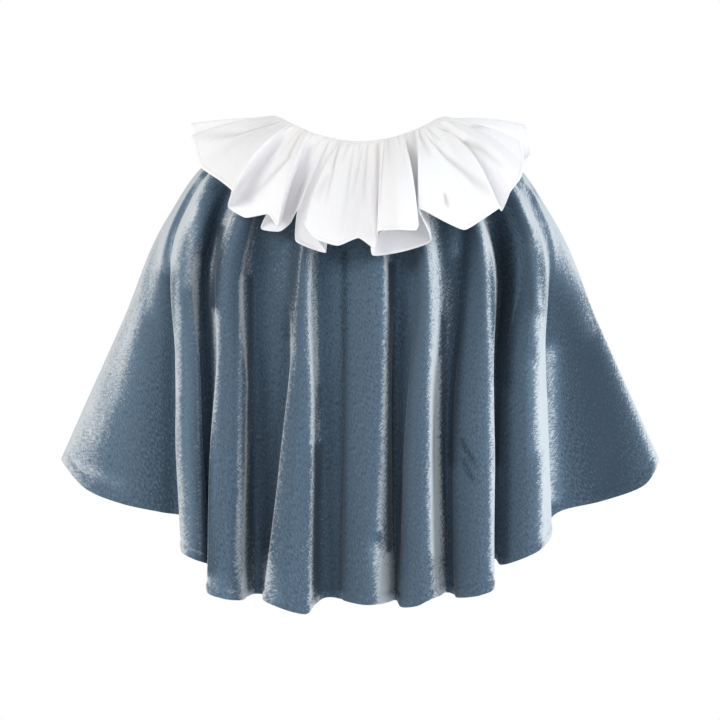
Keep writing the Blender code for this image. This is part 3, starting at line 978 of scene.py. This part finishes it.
def frill_sheet(lines):
    """The outer face of the frill with its gathers and creases, and the shade in the creases."""
    at = np.arange((len(lines) - 1) * FRILL_STEPS + 1) / FRILL_STEPS
    order = np.arange(len(lines))
    open_shares = np.linspace(0, FRILL_HEM_SHARE, FRILL_ROWS - FRILL_HEM_ROWS)
    hem_shares = np.linspace(FRILL_HEM_SHARE, 1, FRILL_HEM_ROWS + 1)[1:]
    edge = curve([[line.x, line.y, line.height] for line in lines], at, FRILL_CRISP)
    turns = np.interp(at, order, [line.turn for line in lines])
    rounding = np.interp(at, order, [line.rounding for line in lines])
    neck = np.array([ring_point(RINGS[0], math.radians(turn)) for turn in turns])
    below = np.array([ring_point(RINGS[1], math.radians(turn)) for turn in turns]) - neck
    stand = np.cross(below, np.gradient(neck, axis=0))
    stand *= np.sign(stand[:, 2:])
    neck = neck + FRILL_STAND * stand / np.linalg.norm(stand, axis=1, keepdims=True)
    chord = edge - neck
    length = np.linalg.norm(chord, axis=1)
    along = chord / length[:, None]
    rise = np.array([0, 0, 1.0]) - along[:, 2:] * along
    rise /= np.linalg.norm(rise, axis=1, keepdims=True)
    gather, valley, reach = gathers(turns)
    rows = []
    shades = []
    for share in np.concatenate([open_shares, hem_shares]):
        drawn_up = min(share / GATHER_ONSET, 1.0) * np.clip(1 - share / reach, 0, 1)
        lift = rounding * math.sin(math.pi * share) + GATHER_LIFT * gather * drawn_up
        shade = GATHER_SHADE * valley * drawn_up
        for c in FRILL_CREASES:
            mark = crease_at(c, turns, share)
            lift = lift + c.rise * mark
            shade = np.maximum(shade, c.shade * mark)
        shades.append(shade)
        from_edge = (1 - share) * length
        lift = lift + HEM_RIDGE * bell(from_edge - FRILL_HEM / 2, HEM_RIDGE_WIDTH)
        lift = lift - HEM_GROOVE * bell(from_edge - FRILL_HEM, HEM_GROOVE_WIDTH)
        rows.append(neck + chord * share + rise * lift[:, None])
    return np.array(rows), np.array(shades)


frill_outer, frill_shade = frill_sheet(frill_ring)
frill_across = round_the_cloth(frill_outer, 1.0)
frill_up = up_from_edge(frill_outer)
print("frill edge", round(frill_across[-1]), "mm long, strip", round(frill_up[0].mean()), "mm wide")

# %% [markdown]
# ## Cotton
# A closely woven white cotton. Its weave is two sets of fine ridges crossing on the flat map. A faint cool
# cast on the open panels and a faint warm one in the gathers keep the white from looking like paint, and
# the shade kept on the cloth darkens its creases.

# %% Cotton finish
COTTON_WHITE = (0.915, 0.912, 0.936, 1.0)
COTTON_WARM = (0.93, 0.92, 0.905, 1.0)
COTTON_SHADE = (0.34, 0.30, 0.25, 1.0)
CLOUD = Grain(1.7, 20, 55, 3.0)
CRUMPLE = Grain(2.0, 15, 150, 4.0)
CRUMPLE_HEIGHT = 1.5
WEAVE_HEIGHT = 0.06
COTTON_STRENGTH = 0.35
THREAD_PITCH = 0.00055
WARM_FROM = 0.050
WARM_FULL = 0.085
COTTON_WALL = 0.8


def cotton_finish(name):
    finish, tree, shader = new_finish(name)
    flat = node(tree, "ShaderNodeUVMap", uv_map="cloth").outputs["UV"]
    parts = node(tree, "ShaderNodeSeparateXYZ", {"Vector": flat}).outputs
    near_neck = soft_step(tree, parts["Y"], WARM_FROM, WARM_FULL)
    warmth = calc(tree, "MULTIPLY", near_neck, cloth_noise(tree, flat, CLOUD))
    tint = mixed(tree, warmth, COTTON_WHITE, COTTON_WARM)
    threads = []
    for axis in ("X", "Y"):
        turns = calc(tree, "MULTIPLY", parts[axis], 2 * math.pi / THREAD_PITCH)
        threads.append(calc(tree, "SINE", turns))
    weave = calc(tree, "MULTIPLY", calc(tree, "MULTIPLY", *threads), WEAVE_HEIGHT)
    crumple = calc(tree, "MULTIPLY", cloth_noise(tree, flat, CRUMPLE), CRUMPLE_HEIGHT)
    look = {
        "Base Color": mixed(tree, kept_value(tree, "shade"), tint, COTTON_SHADE),
        "Normal": relief(tree, calc(tree, "ADD", weave, crumple), COTTON_STRENGTH, MM),
        "Roughness": 0.8,
        "Specular IOR Level": 0.25,
        "Subsurface Weight": 0.25,
        "Subsurface Radius": (1.0, 0.95, 0.9),
        "Subsurface Scale": 0.0012,
        "Sheen Weight": 0.08,
        "Sheen Roughness": 0.5,
    }
    feed(tree, shader, look)
    return finish


cotton = cotton_finish("white_cotton")
frill_kept = {"shade": frill_shade}
frill_piece = wound_shell("collar_frill_cotton", frill_outer, COTTON_WALL, frill_across, frill_up, frill_kept)
frill_piece.data.materials.append(cotton)
print("cotton in", len(cotton.node_tree.nodes), "nodes")

# %% [markdown]
# ## Stitches along the frill's hem
# The narrow hem is held by a row of small machine stitches. Placing hundreds by hand is hopeless, so a
# Geometry Nodes tree lays them: it takes a line just above the edge, resamples it at the stitch length and
# puts a slim rounded stitch on every point, turned along the line.

# %% A tree that lays stitches
STITCH = {"Pitch": 2.4, "Length": 1.9, "Thickness": 0.28}


def stitch_tree(name, finish):
    tree = bpy.data.node_groups.new(name, "GeometryNodeTree")
    face = tree.interface
    face.new_socket(name="Geometry", in_out="INPUT", socket_type="NodeSocketGeometry")
    sizes = {}
    for label in STITCH:
        sizes[label] = face.new_socket(name=label, in_out="INPUT", socket_type="NodeSocketFloat").identifier
    face.new_socket(name="Geometry", in_out="OUTPUT", socket_type="NodeSocketGeometry")
    given = node(tree, "NodeGroupInput").outputs
    path = node(tree, "GeometryNodeMeshToCurve", {"Mesh": given["Geometry"]})
    spacing = {"Curve": path.outputs["Curve"], "Length": given["Pitch"]}
    even = node(tree, "GeometryNodeResampleCurve", spacing, mode="LENGTH")
    bead = node(tree, "GeometryNodeMeshUVSphere", {"Segments": 6, "Rings": 4, "Radius": 0.5})
    slim = {"X": given["Thickness"], "Y": given["Thickness"], "Z": given["Length"]}
    size = node(tree, "ShaderNodeCombineXYZ", slim)
    drawn = {"Geometry": bead.outputs["Mesh"], "Scale": size.outputs["Vector"]}
    stitch = node(tree, "GeometryNodeTransform", drawn)
    along = {"Vector": node(tree, "GeometryNodeInputTangent").outputs["Tangent"]}
    turned = node(tree, "FunctionNodeAlignRotationToVector", along, axis="Z")
    laid = {
        "Points": even.outputs["Curve"],
        "Instance": stitch.outputs["Geometry"],
        "Rotation": turned.outputs["Rotation"],
    }
    placed = node(tree, "GeometryNodeInstanceOnPoints", laid)
    real = node(tree, "GeometryNodeRealizeInstances", {"Geometry": placed.outputs["Instances"]})
    coat = node(tree, "GeometryNodeSetMaterial", {"Geometry": real.outputs["Geometry"], "Material": finish})
    node(tree, "NodeGroupOutput", {"Geometry": coat.outputs["Geometry"]})
    return tree, sizes


def laid_stitches(name, path, tree, sizes):
    """A mesh of stitches along a row of places in millimetres."""
    line = bpy.data.meshes.new(name + "_line")
    line.from_pydata((path * MM).tolist(), [(k, k + 1) for k in range(len(path) - 1)], [])
    piece = linked(name, line)
    layer = piece.modifiers.new("stitches", "NODES")
    layer.node_group = tree
    for label, value in STITCH.items():
        layer[sizes[label]] = value * MM
    graph = bpy.context.evaluated_depsgraph_get()
    mesh = bpy.data.meshes.new_from_object(piece.evaluated_get(graph))
    piece.modifiers.clear()
    piece.data = mesh
    mesh.name = name
    bpy.data.meshes.remove(line)
    print(name, "has", len(mesh.polygons), "faces")
    return piece


print("a stitch every", STITCH["Pitch"], "mm")

# %% Thread and stitches
THREAD_DEEP = (0.80, 0.79, 0.78, 1.0)
THREAD_PALE = (0.9, 0.9, 0.92, 1.0)
THREAD_TWIST = 2500
STITCH_LIFT = 0.05
STITCH_MARGIN = 2


def thread_finish():
    finish, tree, shader = new_finish("white_thread")
    place = node(tree, "ShaderNodeTexCoord").outputs["Object"]
    twist = node(tree, "ShaderNodeTexNoise", {"Vector": place, "Scale": THREAD_TWIST})
    colour = mixed(tree, twist.outputs["Fac"], THREAD_DEEP, THREAD_PALE)
    feed(tree, shader, {"Base Color": colour, "Roughness": 0.6})
    return finish


thread = thread_finish()
stitch_nodes, stitch_sizes = stitch_tree("hem_stitches", thread)
frill_normal = normals_of(frill_outer)
hem_row = np.argmin(np.abs(frill_up - FRILL_HEM), axis=0)
column = np.arange(frill_outer.shape[1])
stitch_line = frill_outer[hem_row, column] + STITCH_LIFT * frill_normal[hem_row, column]
stitch_path = stitch_line[STITCH_MARGIN:-STITCH_MARGIN]
stitches = laid_stitches("frill_hem_stitches", stitch_path, stitch_nodes, stitch_sizes)

# %% [markdown]
# ## Camera
# The picture looks level at the front from a few metres away, so the cape shows hardly any perspective.
# One pixel of the 720 by 720 picture is 0.8 millimetres in the plane of the neck.

# %% Camera
VIEW_DISTANCE = 3.5
VIEW_WIDTH = 0.576
VIEW_HEIGHT = -0.184
SENSOR_WIDTH = 36.0
lens = bpy.data.cameras.new("camera")
lens.sensor_width = SENSOR_WIDTH
lens.lens = SENSOR_WIDTH * VIEW_DISTANCE / VIEW_WIDTH
camera = linked("camera", lens)
camera.location = (0.0, -VIEW_DISTANCE, VIEW_HEIGHT)
camera.rotation_euler = (math.radians(90), 0.0, 0.0)
bpy.context.scene.camera = camera
print("lens", round(lens.lens, 1), "mm")

# %% [markdown]
# ## Studio
# White all round, with a pale floor well below the hem. A broad soft light stands level in front. Two keys
# stand higher, a warm and strong one on the left and a cool one on the right. A strip of light at each side
# draws crisp lines down the folds, and two more, above and behind, fill in the rest.

# %% Lights
Lamp = namedtuple("Lamp", "name place target width height power colour")
LAMPS = (
    Lamp("front_fill", (0.0, -3.2, -0.1), (0, 0, -0.2), 1.6, 1.2, 16, (1.0, 1.0, 1.0)),
    Lamp("left_key", (-1.9, -1.9, 1.1), (0, 0, -0.2), 1.2, 1.2, 39, (1.0, 0.985, 0.96)),
    Lamp("right_key", (1.9, -1.9, 1.1), (0, 0, -0.2), 1.2, 1.2, 19, (0.96, 0.98, 1.0)),
    Lamp("right_edge", (1.9, -0.45, 0.1), (0, -0.1, -0.2), 0.5, 1.4, 26, (0.93, 0.97, 1.0)),
    Lamp("left_edge", (-1.3, -0.35, 0.1), (-0.1, -0.1, -0.2), 0.6, 1.4, 6, (1.0, 0.97, 0.93)),
    Lamp("top_soft", (0.0, -1.3, 1.9), (0, 0, -0.1), 1.4, 1.0, 5, (1.0, 1.0, 1.0)),
    Lamp("behind_soft", (0.3, 2.4, 1.2), (0, 0, -0.2), 2.0, 1.6, 40, (1.0, 1.0, 1.0)),
)


def soft_light(lamp):
    light = bpy.data.lights.new(lamp.name, "AREA")
    light.shape = "RECTANGLE"
    light.size = lamp.width
    light.size_y = lamp.height
    light.energy = lamp.power
    light.color = lamp.colour
    holder = linked(lamp.name, light)
    holder.location = lamp.place
    holder.rotation_euler = (Vector(lamp.target) - Vector(lamp.place)).to_track_quat("-Z", "Y").to_euler()


for lamp in LAMPS:
    soft_light(lamp)
print(len(LAMPS), "soft lights")

# %% Floor
FLOOR_HEIGHT = -0.9
FLOOR_REACH = 2.5
FLOOR_PALE = (0.82, 0.82, 0.82, 1.0)
FLOOR_CORNERS = ((-1, -1), (1, -1), (1, 1), (-1, 1))
floor_mesh = bpy.data.meshes.new("floor")
corners = [(x * FLOOR_REACH, y * FLOOR_REACH, FLOOR_HEIGHT) for x, y in FLOOR_CORNERS]
floor_mesh.from_pydata(corners, [], [(0, 1, 2, 3)])
floor = linked("floor", floor_mesh)
floor_finish, floor_tree, floor_shader = new_finish("pale_floor")
feed(floor_tree, floor_shader, {"Base Color": FLOOR_PALE, "Roughness": 0.9})
floor_mesh.materials.append(floor_finish)
print("floor at", FLOOR_HEIGHT, "m")

# %% White surround
WHITE = (1.0, 1.0, 1.0, 1.0)
SURROUND_LIGHT = 0.10
world = bpy.data.worlds.new("white_studio")
bpy.context.scene.world = world
world.use_nodes = True
sky = world.node_tree
sky.nodes.clear()
seen = node(sky, "ShaderNodeBackground", {"Color": WHITE})
lit = node(sky, "ShaderNodeBackground", {"Color": WHITE, "Strength": SURROUND_LIGHT})
ray = node(sky, "ShaderNodeLightPath").outputs["Is Camera Ray"]
choose = node(sky, "ShaderNodeMixShader", {0: ray, 1: lit.outputs[0], 2: seen.outputs[0]})
node(sky, "ShaderNodeOutputWorld", {"Surface": choose.outputs[0]})
bpy.context.scene.view_settings.view_transform = "Standard"
print("studio ready")

# %% [markdown]
# ## Hand the pieces to the frame
# Each piece of cloth rides on the one body and stands for its solid.
# The cape's panels are cut as wide sectors of a ring, so their area is less than that of the rectangle
# round them. The frill is a shaped strip, longer at its free edge than at the edge that is gathered.

# %% Ride and replace
Cut = namedtuple("Cut", "piece node slot width length area held")
CUTS = (
    Cut(front_piece, "cape_front", "velvet_front", 0.98, 0.40, 0.242, "hung"),
    Cut(left_piece, "cape_back_left", "velvet_back_left", 0.45, 0.40, 0.108, "hung"),
    Cut(right_piece, "cape_back_right", "velvet_back_right", 0.45, 0.40, 0.106, "hung"),
)
for cut in CUTS:
    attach(cut.piece, "root")
    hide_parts(cut.node)
for piece in (frill_piece, stitches):
    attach(piece, "root")
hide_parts("collar_frill")
